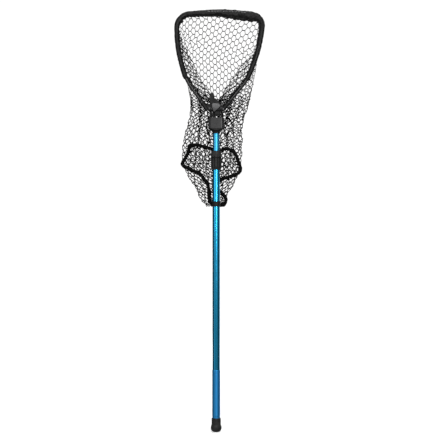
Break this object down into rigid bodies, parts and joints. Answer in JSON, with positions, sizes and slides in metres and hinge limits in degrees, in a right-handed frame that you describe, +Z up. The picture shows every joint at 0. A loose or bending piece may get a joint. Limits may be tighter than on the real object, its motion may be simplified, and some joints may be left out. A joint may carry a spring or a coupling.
{
  "type": "landing net",
  "caption": "Telescoping landing net: a folding hoop with a deep mesh bag on a twist-lock aluminium pole with a grip and a rubber butt.",
  "frame": {"origin": "on the pole's axis at the middle of the grip", "axes": "+Z up the pole to the hoop, the mouth of the hoop faces -Y, +X to the right seen from the mouth"},
  "size_m": [0.338, 0.1342, 1.5793],
  "materials": {
    "blue_anodised": "glossy anodised",
    "bright_blue_anodised": "glossy anodised",
    "blue_grip": "satin",
    "black_rubber": "matte",
    "black_plastic": "satin moulded",
    "grey_black_plastic": "satin moulded",
    "white_nylon": "moulded",
    "black_steel": "blackened, satin",
    "gloss_black_tube": "gloss powder coat",
    "black_fabric": "woven nylon",
    "black_netting": "coated knotless mesh",
    "black_binding": "braided binding"
  },
  "bodies": {
    "pole": {"outer_tube": "blue_anodised", "grip_sleeve": "blue_grip", "butt_cap": "black_rubber", "keeper_ring": "black_plastic", "lock_base": "black_plastic", "lock_collet": "white_nylon"},
    "collar": {"lock_collar": "black_plastic"},
    "bush": {"guide_bush": "white_nylon"},
    "head": {"inner_plug": "black_plastic", "inner_tube": "bright_blue_anodised", "head_body": "black_plastic", "head_rivets": "black_steel", "hinge_pin": "black_steel", "hinge_nut": "black_steel", "hinge_washers": "black_steel", "net_lower": "black_netting", "net_bottom": "black_netting", "seam_binding": "black_binding"},
    "sleeve": {"lock_sleeve": "grey_black_plastic"},
    "hoop": {"yoke": "black_plastic", "yoke_boss": "grey_black_plastic", "arm_rivets": "black_steel", "hoop_tube": "gloss_black_tube", "hem_sleeve": "black_fabric", "arm_bands": "black_fabric", "net_upper": "black_netting"}
  },
  "joints": [
    {"name": "collar_twist", "type": "hinge", "parent": "pole", "child": "collar", "pos_m": [0, 0, 0.87], "axis": [0, 0, 1], "range_deg": [0, 270]},
    {"name": "pole_slide", "type": "slide", "parent": "pole", "child": "bush", "axis": [0, 0, 1], "range_m": [-0.06, 0.75]},
    {"name": "pole_turn", "type": "hinge", "parent": "bush", "child": "head", "pos_m": [0, 0, 0.03], "axis": [0, 0, 1], "range_deg": [-180, 180]},
    {"name": "sleeve_lock", "type": "slide", "parent": "head", "child": "sleeve", "axis": [0, 0, 1], "range_m": [0, 0.008]},
    {"name": "hoop_fold", "type": "hinge", "parent": "head", "child": "hoop", "pos_m": [0, -0.017, 1.066], "axis": [1, 0, 0], "range_deg": [0, 180]}
  ]
}
